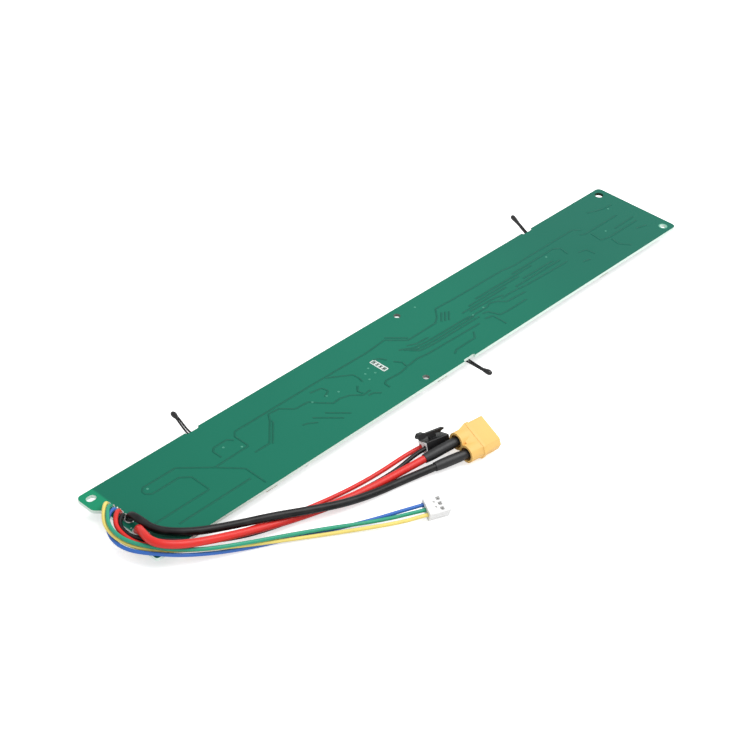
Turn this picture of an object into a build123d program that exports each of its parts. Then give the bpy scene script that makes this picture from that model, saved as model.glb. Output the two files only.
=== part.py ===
from build123d import *
from math import cos, pi, radians, sin, tan
import os

os.makedirs("parts", exist_ok=True)

# Board frame: x along the board from its near end, y from the front edge to the back edge, z up
# from the floor.  The board lies parts down, on its four electrolytic capacitors.
BOARD_L = 352.8
BOARD_W = 50.0
BOARD_T = 1.6
STAND = 5.4
TOP = STAND + BOARD_T
CORNER_R = 2.5
EAR_X = 0.2
EAR_W = 10.5
LUG_W = 8.5
NOTCH_X = 3.3
NOTCH_BEVEL = (5.5, 3.0)
EDGE_NOTCH_L = 7.2
EDGE_NOTCH_D = 1.1


def along(share):
    return share * BOARD_L


def from_back(distance):
    return BOARD_W - distance


# Screw holes near the far corners and the middle, a slot in the near ear, and an empty header.
HOLE_IN = 4.5
FAR_IN = 5.4
M3_HOLE_R = 1.65
M4_HOLE_R = 2.25
HOLES = {
    "far_back": (BOARD_L - FAR_IN, from_back(HOLE_IN), M4_HOLE_R),
    "far_front": (BOARD_L - FAR_IN, HOLE_IN, M3_HOLE_R),
    "mid_back": (along(0.5391), from_back(HOLE_IN), M3_HOLE_R),
    "mid_front": (along(0.4668), HOLE_IN, M3_HOLE_R),
}
SLOT_L = 4.6
SLOT_W = 3.3
SLOT_AT = (4.7, from_back(HOLE_IN))
HEADER_X = along(0.441)
HEADER_PITCH = 2.0
HEADER_R = 0.5

# Thermistors: foot of the leads under the board, then the bead's middle, seen from that foot.
LEAD_R = 0.35
LEAD_GAP = 2.3
BEAD_R = 1.3
BEAD_L = 5.0
BEAD_NECK_R = 0.95
BEAD_Z = 3.8
THERMISTORS = {
    "a": ((along(0.1814), from_back(HOLE_IN)), (3.9, 19.7)),
    "b": ((along(0.8288), from_back(HOLE_IN)), (8.6, 19.2)),
    "c": ((along(0.5386), HOLE_IN), (1.2, -14.1)),
}

# Wires: diameter and the points of each middle line, chosen by hand along the photo.
POWER_D = 3.5
CHARGE_D = 2.0
DATA_D = 1.65
WIRES = {
    "power_wire_black": (POWER_D, [
        (7.6, 25.2, STAND), (7.6, 25.2, 9.4), (7.6, 20.7, 11.5), (9.5, 10.9, 9.5),
        (19.0, 0.1, 8.9), (34.6, -7.3, 7.8), (49.6, -14.7, 7.9), (62.5, -21.1, 6.9),
        (78.5, -26.9, 4.6), (94.2, -30.1, 2.7), (110.7, -32.4, 1.9), (139.9, -42.0, 5.0)]),
    "power_wire_red": (POWER_D, [
        (5.4, 17.4, STAND), (5.3, 17.2, 9.2), (0.8, 11.8, 11.7), (0.7, 3.7, 13.0),
        (6.1, -2.9, 12.3), (18.4, -7.9, 9.7), (45.8, -14.9, 4.4), (67.4, -20.9, 3.1),
        (83.7, -24.5, 2.7), (97.2, -26.8, 2.6), (114.7, -29.2, 3.3), (140.7, -35.3, 7.6)]),
    "charge_wire_red": (CHARGE_D, [
        (7.4, 30.8, STAND), (7.3, 30.8, 9.2), (2.4, 27.6, 10.7), (-1.3, 22.8, 8.9),
        (-1.0, 12.1, 7.8), (5.4, 1.0, 9.0), (17.1, -3.5, 6.3), (45.0, -10.3, 1.9),
        (72.9, -17.1, 1.0), (99.4, -21.3, 1.2), (126.7, -23.0, 3.4), (132.5, -24.4, 3.4)]),
    "charge_wire_black": (CHARGE_D, [
        (7.3, 28.2, STAND), (7.2, 28.2, 9.1), (1.4, 24.8, 8.4), (0.5, 17.5, 7.4), (3.2, 8.9, 8.8),
        (10.4, -0.6, 10.4), (22.3, -7.4, 6.6), (44.1, -13.6, 1.6), (80.2, -21.7, 0.9),
        (108.2, -24.6, 2.2), (125.9, -26.1, 4.8), (131.7, -27.5, 4.8)]),
    "data_wire_green": (DATA_D, [
        (7.3, 35.7, STAND), (7.2, 35.7, 8.6), (2.6, 32.8, 11.1), (-3.5, 25.0, 10.0),
        (-3.6, 14.6, 9.2), (1.5, 2.8, 10.1), (9.6, -5.0, 8.8), (23.1, -12.1, 6.0),
        (59.4, -28.1, 2.7), (82.7, -43.2, 2.8), (97.7, -51.2, 3.7), (102.3, -53.2, 3.6)]),
    "data_wire_blue": (DATA_D, [
        (7.3, 33.2, STAND), (7.2, 33.2, 9.0), (0.8, 30.7, 9.2), (-4.5, 24.1, 6.0),
        (-5.1, 13.0, 6.3), (0.5, 0.8, 8.6), (11.5, -6.8, 5.8), (31.9, -15.0, 1.1),
        (56.1, -26.1, 0.8), (76.4, -37.4, 1.4), (98.7, -49.0, 4.4), (103.3, -51.0, 4.4)]),
    "data_wire_yellow": (DATA_D, [
        (7.2, 38.2, STAND), (7.1, 38.2, 8.6), (2.6, 35.0, 10.5), (-3.9, 27.5, 8.9),
        (-4.1, 16.0, 7.2), (0.8, 3.6, 8.3), (10.2, -4.0, 7.4), (29.6, -13.8, 3.5),
        (58.7, -29.8, 1.0), (87.1, -48.9, 2.3), (96.8, -53.4, 2.9), (101.4, -55.4, 2.9)]),
}
WIRE_FIT = 0.1
PLUG_FIT = 0.15

# Plugs: place, turn about z and lean about the plug's own axis.
POWER_PLUG = ((138.8, -38.5, 6.3), -7.0, 21.0)
CHARGE_PLUG = ((129.72, -25.4, 4.14), -14.0, -25.0)
DATA_PLUG = ((100.45, -52.41, 3.67), -23.0, 17.0)


def plug_plane(plug):
    place, yaw, lean = plug
    a = radians(yaw)
    b = radians(lean)
    forward = Vector(cos(a), sin(a), 0)
    left = Vector(-sin(a), cos(a), 0)
    up = left * -sin(b) + Vector(0, 0, 1) * cos(b)
    return Plane(origin=place, x_dir=forward, z_dir=up)


def block(x0, x1, y0, y1, z0, z1):
    middle = ((x0 + x1) / 2, (y0 + y1) / 2, (z0 + z1) / 2)
    return Pos(*middle) * Box(x1 - x0, y1 - y0, z1 - z0)


def rod(radius, x0, x1, y=0.0, z=0.0):
    return Pos((x0 + x1) / 2, y, z) * Rot(0, 90, 0) * Cylinder(radius, x1 - x0)


def post(radius, x, y, z0, z1):
    return Pos(x, y, (z0 + z1) / 2) * Cylinder(radius, z1 - z0)


def under(x, y, length, width, height, lift=0.0):
    high = STAND - lift
    return block(x - length / 2, x + length / 2, y - width / 2, y + width / 2, high - height, high)


nodes = {}


def add(name, *shapes):
    solids = []
    for shape in shapes:
        solids.extend(shape.solids())
    nodes[name] = solids[0] if len(solids) == 1 else Compound(children=solids)


# The laminate: one flat outline with the notched near end and the notches in its long edges.
bevel_x, bevel_y = NOTCH_BEVEL[1], NOTCH_BEVEL[0]
ear_y = from_back(EAR_W)
outline = Polyline(
    (0, 0), (0, LUG_W), (NOTCH_X, LUG_W + bevel_y), (NOTCH_X, ear_y - bevel_x), (EAR_X, ear_y),
    (EAR_X, BOARD_W), (BOARD_L, BOARD_W), (BOARD_L, 0), (0, 0))
board = extrude(make_face(outline), BOARD_T)
uprights = board.edges().filter_by(Axis.Z)


def at(x, y):
    return uprights.sort_by(lambda e: (e.center().X - x) ** 2 + (e.center().Y - y) ** 2)[0]


board = fillet([at(BOARD_L, BOARD_W), at(BOARD_L, 0), at(EAR_X, BOARD_W)], CORNER_R)
uprights = board.edges().filter_by(Axis.Z)
board = fillet([at(0, 0), at(NOTCH_X, LUG_W + bevel_y), at(0, LUG_W)], 1.2)
uprights = board.edges().filter_by(Axis.Z)
board = fillet(at(EAR_X, ear_y), 3.0)
for foot, reach in THERMISTORS.values():
    y = BOARD_W if reach[1] > 0 else 0
    cut = Pos(foot[0], y, BOARD_T / 2) * Box(EDGE_NOTCH_L, 2 * EDGE_NOTCH_D, BOARD_T + 1)
    board -= chamfer(cut.edges().filter_by(Axis.Z), 0.5)
for x, y, r in HOLES.values():
    board -= Pos(x, y, BOARD_T / 2) * Cylinder(r, BOARD_T + 1)
board -= Pos(*SLOT_AT, 0) * extrude(SlotOverall(SLOT_L, SLOT_W), BOARD_T)
for i in range(4):
    spot = Pos(HEADER_X, BOARD_W / 2 + (i - 1.5) * HEADER_PITCH, BOARD_T / 2)
    board -= spot * Cylinder(HEADER_R, BOARD_T + 1)
for width, points in WIRES.values():
    x, y, z = points[0]
    board -= Pos(x, y, BOARD_T / 2) * Cylinder(width / 2 + WIRE_FIT, BOARD_T + 1)
add("circuit_board", Pos(0, 0, STAND) * board)

# Wires: each a round tube along its points, every corner turned into an arc.
SHARE = 0.45
for name, (width, points) in WIRES.items():
    vectors = [Vector(*p) for p in points]
    runs = [(b - a).length for a, b in zip(vectors, vectors[1:])]
    radii = []
    for i in range(1, len(vectors) - 1):
        before = (vectors[i] - vectors[i - 1]).normalized()
        after = (vectors[i + 1] - vectors[i]).normalized()
        turn = radians(before.get_angle(after))
        radii.append(SHARE * min(runs[i - 1], runs[i]) / tan(turn / 2))
    middle = FilletPolyline(*points, radius=radii)
    start = middle ^ 0
    tube = sweep(start * Circle(width / 2), path=middle)
    add(name, tube)
    expected = pi * width ** 2 / 4 * middle.length
    print(name, "length", round(middle.length, 1), "radii in diameters",
          [round(r / width, 1) for r in radii], "volume", round(tube.volume / expected, 3))

# Solder under the board: a cone below each wire end, a flat blob around each thermistor lead.
CONE_H = 1.4
CONE_RIM = 0.7
PAD = (2.2, 1.7, 0.7)
joints = []
for width, points in WIRES.values():
    x, y, z = points[0]
    wide = width / 2 + CONE_RIM
    joints.append(Pos(x, y, STAND - CONE_H / 2) * Rot(180, 0, 0) * Cone(wide, 0.45 * wide, CONE_H))

# Thermistors: two straight leads from the underside into a drop of black resin, turned in one
# piece: a cone from the neck to the shoulder and a round nose.
beads = {}
leads = {}
for key, (foot, reach) in THERMISTORS.items():
    aim = Vector(*reach, 0)
    way = aim.normalized()
    side = Vector(-way.Y, way.X, 0)
    centre = Vector(foot[0], foot[1], BEAD_Z) + aim
    begin = Vector(*foot, STAND - LEAD_R - 0.05)
    inner = centre - way * (BEAD_L / 2 - 1.2)
    pair = []
    for s in (-1, 1):
        a = begin + side * (LEAD_GAP / 2 * s)
        b = inner + side * (0.45 * s)
        span = b - a
        face = Plane(origin=a, z_dir=span)
        pair.append(face * Pos(0, 0, span.length / 2) * Cylinder(LEAD_R, span.length))
        pad = Plane(origin=(a.X, a.Y, STAND - PAD[2] / 2), x_dir=way, z_dir=(0, 0, 1)) * Box(*PAD)
        joints.append(pad - pair[-1])
    leads[key] = pair
    half = BEAD_L / 2
    ball = half - BEAD_R
    lift = radians(100)
    shoulder = (ball + BEAD_R * cos(lift), BEAD_R * sin(lift))
    profile = Polyline((half, 0), (-half, 0), (-half, BEAD_NECK_R), shoulder)
    profile += CenterArc((ball, 0), BEAD_R, 0, 100)
    drop = revolve(make_face(profile), Axis.X)
    spot = Plane(origin=centre, x_dir=way, z_dir=(0, 0, 1))
    drop = spot * drop
    for lead in pair:
        drop -= lead
    beads[key] = max(drop.solids(), key=lambda s: s.volume)
add("wire_solder_joints", *joints)
for key in THERMISTORS:
    add(f"thermistor_{key}_bead", beads[key])
    add(f"thermistor_{key}_leads", *leads[key])

# Nickel tabs: the three seen under the front edge, and the rest of the cell taps along the back.
TAB_T = 0.3
TAB_L = 6.4
TAB_IN = 6.0
TAB_PROUD = 0.25
TAB_BACK_GAP = 0.5
FRONT_TABS = (0.1793, 0.4841, 0.827)
BACK_TABS = (0.2976, 0.3968, 0.4875, 0.6094, 0.7086, 0.9014)
tabs = []
for share in FRONT_TABS:
    x = along(share)
    tabs.append(block(x - TAB_L / 2, x + TAB_L / 2, -TAB_PROUD, TAB_IN, STAND - TAB_T, STAND))
for share in BACK_TABS:
    y = from_back(TAB_BACK_GAP + TAB_IN / 2)
    tabs.append(under(along(share), y, TAB_L, TAB_IN, TAB_T))
add("cell_tap_tabs", *tabs)

# Power switches in two rows of three: black case, tin plate and legs below it.  All that follows
# has its place from shares of the board's length and from its middle line or back edge.
SWITCH_X = along(0.1885)
SWITCH_PITCH = 10.5
SWITCH_CASE = (6.6, 6.1, 2.3)
SWITCH_PLATE = (5.2, 8.0, 0.5)
SWITCH_LEG = (0.8, 2.8, 0.5)
LEG_GAP = 2.3
FRONT_ROW = 15.0
BACK_ROW = from_back(11.0)
cases = []
frames = []
for i in (-1, 0, 1):
    for y, way in ((FRONT_ROW, -1), (BACK_ROW, 1)):
        x = SWITCH_X + i * SWITCH_PITCH
        plate = under(x, y + 1.0 * way, *SWITCH_PLATE)
        cases.append(under(x, y, *SWITCH_CASE) - plate)
        frames.append(plate)
        leg_y = y - (SWITCH_CASE[1] + SWITCH_LEG[1]) / 2 * way
        for dx in (-LEG_GAP, LEG_GAP):
            frames.append(under(x + dx, leg_y, *SWITCH_LEG))
add("mosfet_cases", *cases)
add("mosfet_lead_frames", *frames)

# Copper bars that carry the battery current, and the current sensing shunts beside the long one.
BAR_W = 3.0
BAR_T = 1.2
LONG_BAR = 52.0
SHORT_BAR = 26.0
SHUNT = (6.4, 3.2, 0.9)
LONG_BAR_Y = BACK_ROW - SWITCH_CASE[1] / 2 - SWITCH_LEG[1] - BAR_W / 2 - 0.1
SHUNT_Y = LONG_BAR_Y - BAR_W / 2 - SHUNT[1] / 2 - 0.1
bars = [under(along(0.0992), 22.8, SHORT_BAR, BAR_W, BAR_T)]
bars.append(under(along(0.1361), LONG_BAR_Y, LONG_BAR, BAR_W, BAR_T))
add("copper_bus_bars", *bars)
add("shunt_resistors", *[under(SWITCH_X + i * SWITCH_PITCH, SHUNT_Y, *SHUNT) for i in (-1, 0, 1)])

# The fuse in the plus line and the two surge diodes.
FUSE_AT = (along(0.068), 8.5)
FUSE_BODY = (7.0, 5.6, 2.8)
FUSE_END = (1.5, 6.0, 3.0)
DIODE_BODY = (6.0, 5.0, 2.2)
DIODE_STRAP = (0.6, 2.8, 1.2)
add("main_fuse", under(*FUSE_AT, *FUSE_BODY))
fuse_reach = (FUSE_BODY[0] + FUSE_END[0]) / 2
add("fuse_end_caps", *[under(FUSE_AT[0] + fuse_reach * s, FUSE_AT[1], *FUSE_END) for s in (-1, 1)])
diodes = []
straps = []
for y in (8.5, from_back(6.5)):
    x = along(0.1077)
    diodes.append(under(x, y, *DIODE_BODY))
    for s in (-1, 1):
        straps.append(under(x + (DIODE_BODY[0] + DIODE_STRAP[0]) / 2 * s, y, *DIODE_STRAP))
add("surge_diodes", *diodes)
add("surge_diode_leads", *straps)

# Electrolytic capacitors, the tallest parts: the board rests on their cans.  Each can has a
# crimped groove above its base and a bevelled crown.
CAN_R = 3.15
CAN_BEVEL = 0.35
GROOVE_D = 0.25
GROOVE_Z = 0.9
BASE_SIDE = 6.6
BASE_T = 1.0
can_h = STAND - BASE_T
groove = [(CAN_R, GROOVE_Z - 0.35), (CAN_R - GROOVE_D, GROOVE_Z), (CAN_R, GROOVE_Z + 0.35)]
can_side = Polyline(
    (0, can_h), (CAN_R, can_h), *[(r, can_h - z) for r, z in groove], (CAN_R, CAN_BEVEL),
    (CAN_R - CAN_BEVEL, 0), (0, 0), (0, can_h))
can = revolve(Plane.XZ * make_face(can_side), Axis.Z)
cans = []
bases = []
for x, y in [(along(0.2494), 7.0), (along(0.2494), from_back(7.0)),
             (along(0.9354), 12.0), (along(0.9354), from_back(10.0))]:
    cans.append(Pos(x, y, 0) * can)
    base = under(x, y, BASE_SIDE, BASE_SIDE, BASE_T)
    bases.append(chamfer(base.edges().filter_by(Axis.Z).group_by(Axis.X)[0], 1.3))
add("capacitor_cans", *cans)
add("capacitor_bases", *bases)

# Step-down supply: shielded inductor and the regulator beside it.
SUPPLY_X = along(0.2877)
COIL_Y = from_back(12.0)
COIL_SIDE = 7.0
COIL_H = 3.2
COIL_BASE_T = 0.8
COIL_WELL_R = 2.2
REG_CASE = (6.5, 3.5, 1.6)
REG_LEG = (0.8, 1.8, 0.3)
coil_base = under(SUPPLY_X, COIL_Y, COIL_SIDE + 0.3, COIL_SIDE + 0.3, COIL_BASE_T)
coil = under(SUPPLY_X, COIL_Y, COIL_SIDE, COIL_SIDE, COIL_H, lift=COIL_BASE_T)
coil = fillet(coil.edges().filter_by(Axis.Z), 1.4)
coil_low = STAND - COIL_BASE_T - COIL_H
coil -= post(COIL_WELL_R, SUPPLY_X, COIL_Y, 0, coil_low + 0.6)
add("inductor_core", coil, post(COIL_WELL_R - 0.2, SUPPLY_X, COIL_Y, coil_low + 0.2, coil_low + 0.6))
add("inductor_base", coil_base)
reg_y = BOARD_W / 2 + 1.0
leg_y = (REG_CASE[1] + REG_LEG[1]) / 2
add("regulator_case", under(SUPPLY_X, reg_y, *REG_CASE, lift=0.1))
legs = [under(SUPPLY_X, reg_y + leg_y, 3.0, REG_LEG[1], REG_LEG[2])]
for i in (-1, 0, 1):
    legs.append(under(SUPPLY_X + i * LEG_GAP, reg_y - leg_y, *REG_LEG))
add("regulator_leads", *legs)


# Gull-wing leg of a chip, drawn in its side view and given a width.
def gull(reach, foot, rise, thick, width):
    side_view = Polyline(
        (0, rise), (reach - foot, rise), (reach - foot, thick), (reach, thick), (reach, 0),
        (reach - foot - thick, 0), (reach - foot - thick, rise - thick), (0, rise - thick), (0, rise))
    leg = extrude(Plane.XZ * make_face(side_view), width / 2, both=True)
    return mirror(leg, Plane.XY)


def ringed(spot, half, pitch, count, sides, leg):
    legs = []
    for turn in sides:
        for i in range(count):
            off = (i - (count - 1) / 2) * pitch
            legs.append(Pos(spot[0], spot[1], STAND) * Rot(0, 0, turn) * Pos(half, off, 0) * leg)
    return legs


# Controller with legs on four sides, its crystal, and the cell monitor with legs on two.
CONTROLLER = (along(0.3628), BOARD_W / 2)
CONTROLLER_CASE = (7.0, 7.0, 1.4)
MONITOR = (along(0.6009), BOARD_W / 2 + 1.0)
MONITOR_CASE = (4.4, 9.7, 1.1)
CRYSTAL_CAN = (5.0, 3.2, 1.1)
four_sides = (0, 90, 180, 270)
add("controller_chip", under(*CONTROLLER, *CONTROLLER_CASE, lift=0.1))
legs = ringed(CONTROLLER, CONTROLLER_CASE[0] / 2, 0.8, 8, four_sides, gull(1.0, 0.55, 0.85, 0.15, 0.35))
add("controller_leads", *legs)
add("monitor_chip", under(*MONITOR, *MONITOR_CASE, lift=0.1))
legs = ringed(MONITOR, MONITOR_CASE[0] / 2, 0.65, 14, (0, 180), gull(1.0, 0.55, 0.65, 0.15, 0.26))
add("monitor_leads", *legs)
add("crystal_can", under(CONTROLLER[0], CONTROLLER[1] + 9.5, *CRYSTAL_CAN))

# Balancing, one resistor and one switch for each cell, and the drivers of the power switches.
CELLS = 10
BALANCE_PITCH = along(0.0244)
RESISTOR_BODY = (2.5, 4.2, 0.7)
RESISTOR_END = (2.55, 0.5, 0.75)
SMALL_CASE = (2.9, 1.3, 1.0)
SMALL_FOOT = (0.45, 0.6, 0.35)
balance_xs = [along(0.6463) + BALANCE_PITCH * i for i in range(CELLS)]
resistor_y = BOARD_W / 2 + 9.0
balance_ys = (BOARD_W / 2 + 1.0, BOARD_W / 2 - 7.0, BOARD_W / 2 - 13.0)
balance_spots = [(x, balance_ys[0]) for x in balance_xs]
driver_spots = [(along(0.2551), BOARD_W / 2 + dy) for dy in (-5.0, 1.0, 7.0)]
driver_spots.append((along(0.3175), BOARD_W / 2 - 5.0))
add("balance_resistors", *[under(x, resistor_y, *RESISTOR_BODY) for x in balance_xs])
add("balance_transistors", *[under(*spot, *SMALL_CASE, lift=0.1) for spot in balance_spots])
add("gate_transistors", *[under(*spot, *SMALL_CASE, lift=0.1) for spot in driver_spots])
foot_dx = SMALL_CASE[0] / 2 - 0.5
foot_dy = (SMALL_CASE[1] + SMALL_FOOT[1]) / 2
feet = []
for x, y in balance_spots + driver_spots:
    for dx, dy in [(-foot_dx, -foot_dy), (foot_dx, -foot_dy), (0.0, foot_dy)]:
        feet.append(under(x + dx, y + dy, *SMALL_FOOT))
add("transistor_leads", *feet)

# Small chip parts: bodies between tin end caps.
CHIP_L = 1.2
CHIP_W = 1.25
CHIP_CAP_T = 1.0
CHIP_RES_T = 0.5
END_L = 0.4
END_PROUD = 0.05
middle_y = BOARD_W / 2
cap_spots = [(x, balance_ys[1]) for x in balance_xs]
cap_spots += [(along(0.3175), middle_y + dy) for dy in (3.0, 8.0)]
cap_spots += [(CONTROLLER[0] + dx, middle_y - 9.5) for dx in (-8.0, 8.0)]
cap_spots += [(along(0.5669), middle_y + dy) for dy in (-5.0, 7.0)]
res_spots = [(x, balance_ys[2]) for x in balance_xs]
res_spots += [(along(0.4025), middle_y + dy) for dy in (-5.0, -1.0, 3.0, 7.0)]
res_spots += [(along(0.5215), middle_y + dy) for dy in (-1.0, 5.0)]
add("filter_capacitors", *[under(*spot, CHIP_L, CHIP_W, CHIP_CAP_T) for spot in cap_spots])
add("chip_resistors", *[under(*spot, CHIP_L, CHIP_W, CHIP_RES_T) for spot in res_spots])
end_x = (CHIP_L + END_L) / 2
end_y = (RESISTOR_BODY[1] + RESISTOR_END[1]) / 2
ends = []
for s in (-1, 1):
    for spots, thick in ((cap_spots, CHIP_CAP_T), (res_spots, CHIP_RES_T)):
        ends += [under(x + end_x * s, y, END_L, CHIP_W + END_PROUD, thick + END_PROUD) for x, y in spots]
    ends += [under(x, resistor_y + end_y * s, *RESISTOR_END) for x in balance_xs]
add("chip_end_caps", *ends)

# Power plug: sockets to the front, two round recesses behind, sleeves over the wire ends.
PIN_Y = 3.6
FRONT_X = 16.5
RIDGE_X = 6.6
RIDGE_T = 1.8
RIDGE_PROUD = 0.4
BLOCK_Y = 7.7
BLOCK_Z = 3.9
PLUG_CHAMFER = 2.2
CONTACT_R = 2.2
RECESS_R = 3.1
LOBE_R = 4.1
FLARE_X = 1.8
FLARE_IN = 1.1
place = plug_plane(POWER_PLUG)


def cut_corner_block(x0, x1, y, z):
    body = block(x0, x1, -y, y, -z, z)
    body = chamfer(body.edges().filter_by(Axis.X).group_by(Axis.Y)[0], PLUG_CHAMFER)
    return fillet(body.edges().filter_by(Axis.X).group_by(Axis.Y)[-1], 0.8)


def cut_corner_face(x, y, z):
    c = PLUG_CHAMFER
    rim = Polyline((x, -y + c, -z), (x, y, -z), (x, y, z), (x, -y + c, z), (x, -y, z - c), (x, -y, c - z),
                   (x, -y + c, -z))
    return make_face(rim)


body = cut_corner_block(RIDGE_X, FRONT_X, BLOCK_Y, BLOCK_Z)
body += cut_corner_block(RIDGE_X, RIDGE_X + RIDGE_T, BLOCK_Y + RIDGE_PROUD, BLOCK_Z + RIDGE_PROUD)
cap = rod(LOBE_R, 0, RIDGE_X, PIN_Y) + rod(LOBE_R, 0, RIDGE_X, -PIN_Y)
small_end = cut_corner_face(FLARE_X, BLOCK_Y - FLARE_IN, BLOCK_Z - FLARE_IN)
cap += loft([small_end, cut_corner_face(RIDGE_X, BLOCK_Y + RIDGE_PROUD / 2, BLOCK_Z + RIDGE_PROUD / 2)])
contacts = []
for s in (-1, 1):
    y = PIN_Y * s
    cap -= rod(RECESS_R, 0, 4.0, y) + rod(CONTACT_R, 4.0, RIDGE_X, y)
    body -= rod(CONTACT_R, RIDGE_X, FRONT_X, y) + rod(CONTACT_R + 0.4, RIDGE_X, RIDGE_X + 0.8, y)
    barrel = rod(CONTACT_R, 3.4, FRONT_X - 0.8, y) + rod(CONTACT_R + 0.4, RIDGE_X, RIDGE_X + 0.8, y)
    barrel -= rod(CONTACT_R - 0.45, 7.5, FRONT_X, y)
    contacts.append(barrel + rod(1.4, 1.9, 3.4, y))
add("power_plug_body", place * body)
add("power_plug_cap", place * cap)
add("power_plug_contacts", *[place * c for c in contacts])

# Sleeves along the straight last run of each thick wire.
SLEEVE_R = 2.3
SLEEVE_L = 18.2
SLEEVE_IN = 0.4
for name, wire in (("power_sleeve_red", "power_wire_red"), ("power_sleeve_black", "power_wire_black")):
    a, b = [Vector(*p) for p in WIRES[wire][1][-2:]]
    way = (b - a).normalized()
    begin = b - way * SLEEVE_L
    face = Plane(origin=begin, z_dir=way)
    length = SLEEVE_L - SLEEVE_IN
    tube = Cylinder(SLEEVE_R, length) - Cylinder(POWER_D / 2, length)
    add(name, face * Pos(0, 0, length / 2) * tube)

# Charge plug: housing and rocker latch moulded in one, white retainer at its rear.
CH_L = 11.4
CH_Y = 3.5
CH_Z = 2.9
CH_PIN = 1.75
CLIP_X = 1.6
CH_WALL = 0.5
PAD_W = 3.0
ARM_W = 1.8
place = plug_plane(CHARGE_PLUG)
shell = block(0, CH_L, -CH_Y, CH_Y, -CH_Z, CH_Z)
shell = fillet(shell.edges().filter_by(Axis.X), 0.4)
shell -= block(0, CLIP_X, -CH_Y + CH_WALL, CH_Y - CH_WALL, -CH_Z + CH_WALL, CH_Z - CH_WALL)
shell += block(3.4, 6.6, -ARM_W / 2, ARM_W / 2, CH_Z - 0.2, 4.8)
pad = Polyline((-2.7, 4.6), (-2.7, 5.4), (-1.7, 6.6), (0.6, 6.6), (1.6, 5.6), (1.6, 4.6), (0.4, 4.1),
               (-1.9, 4.1), (-2.7, 4.6))
arm = Polyline((1.2, 4.4), (1.2, 5.8), (10.6, 5.8), (11.2, 5.5), (11.2, 5.1), (8.6, 4.1), (7.4, 4.4),
               (1.2, 4.4))
shell += extrude(Plane.XZ * make_face(pad), PAD_W / 2, both=True)
shell += extrude(Plane.XZ * make_face(arm), ARM_W / 2, both=True)
clip = block(-0.5, CLIP_X, -CH_Y + CH_WALL, CH_Y - CH_WALL, -CH_Z + CH_WALL, CH_Z - CH_WALL)
pins = []
for s in (-1, 1):
    y = CH_PIN * s
    shell -= rod(CHARGE_D / 2 + PLUG_FIT, CLIP_X, 2.5, y) + rod(0.9, 2.5, CH_L, y)
    clip -= rod(CHARGE_D / 2 + PLUG_FIT, -0.5, CLIP_X, y)
    pins.append(rod(0.9, 2.5, CH_L - 1.2, y) - rod(0.55, 6.5, CH_L, y))
add("charge_plug_housing", place * shell)
add("charge_plug_retainer", place * clip)
add("charge_plug_contacts", *[place * p for p in pins])

# Data plug: three cavities, a window over each, two shallow slots behind them.
DP_L = 9.6
DP_Y = 4.2
DP_Z = 2.5
DP_PITCH = 2.5
WELL = 0.85
WELL_X = 2.1
place = plug_plane(DATA_PLUG)
shell = block(0, DP_L, -DP_Y, DP_Y, -DP_Z, DP_Z)
shell = fillet(shell.edges().filter_by(Axis.X), 0.3)
pins = []
for i in (-1, 0, 1):
    y = DP_PITCH * i
    shell -= rod(DATA_D / 2 + PLUG_FIT, 0, WELL_X, y)
    shell -= block(WELL_X, DP_L, y - WELL, y + WELL, -WELL, WELL)
    shell -= block(5.2, 7.0, y - WELL, y + WELL, WELL, DP_Z)
    pin = block(WELL_X, DP_L - 1.2, y - WELL, y + WELL, -WELL, WELL)
    pins.append(pin - block(DP_L - 3.0, DP_L - 1.2, y - 0.5, y + 0.5, -0.5, 0.5))
for y in (-DP_PITCH / 2, DP_PITCH / 2):
    shell -= block(3.2, 4.3, y - 0.5, y + 0.5, DP_Z - 0.8, DP_Z)
add("data_plug_housing", place * shell)
add("data_plug_contacts", *[place * p for p in pins])

# Move all to the shared frame: middle of the rigid parts' footprint, floor at zero.
CORDS = list(WIRES) + [n for n in nodes if "plug" in n or "sleeve" in n]
rigid = Compound(children=[s for n in nodes if n not in CORDS for s in nodes[n].solids()])
box = rigid.bounding_box()
shift = Pos(-(box.min.X + box.max.X) / 2, -(box.min.Y + box.max.Y) / 2, -box.min.Z)
print("rigid box", [round(v, 3) for v in (*box.min, *box.max)])
for name, shape in nodes.items():
    export_step(shift * shape, f"parts/{name}.step")
print(len(nodes), "nodes")
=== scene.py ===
from math import cos, pi, radians, sin

import bmesh
import bpy
from mathutils import Matrix, Vector, noise


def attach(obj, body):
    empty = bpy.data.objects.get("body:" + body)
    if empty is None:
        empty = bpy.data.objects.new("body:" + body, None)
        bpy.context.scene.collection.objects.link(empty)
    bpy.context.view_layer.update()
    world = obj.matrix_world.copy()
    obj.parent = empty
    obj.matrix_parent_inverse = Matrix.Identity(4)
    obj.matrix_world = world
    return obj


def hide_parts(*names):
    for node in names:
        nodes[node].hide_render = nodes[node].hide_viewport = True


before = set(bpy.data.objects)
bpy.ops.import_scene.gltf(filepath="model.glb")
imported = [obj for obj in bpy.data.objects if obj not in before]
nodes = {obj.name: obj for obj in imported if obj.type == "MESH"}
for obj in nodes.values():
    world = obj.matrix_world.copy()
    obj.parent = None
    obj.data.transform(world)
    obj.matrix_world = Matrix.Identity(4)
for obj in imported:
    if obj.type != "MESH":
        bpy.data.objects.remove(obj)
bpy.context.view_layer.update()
scene = bpy.context.scene
scene.view_settings.view_transform = "Standard"

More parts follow.
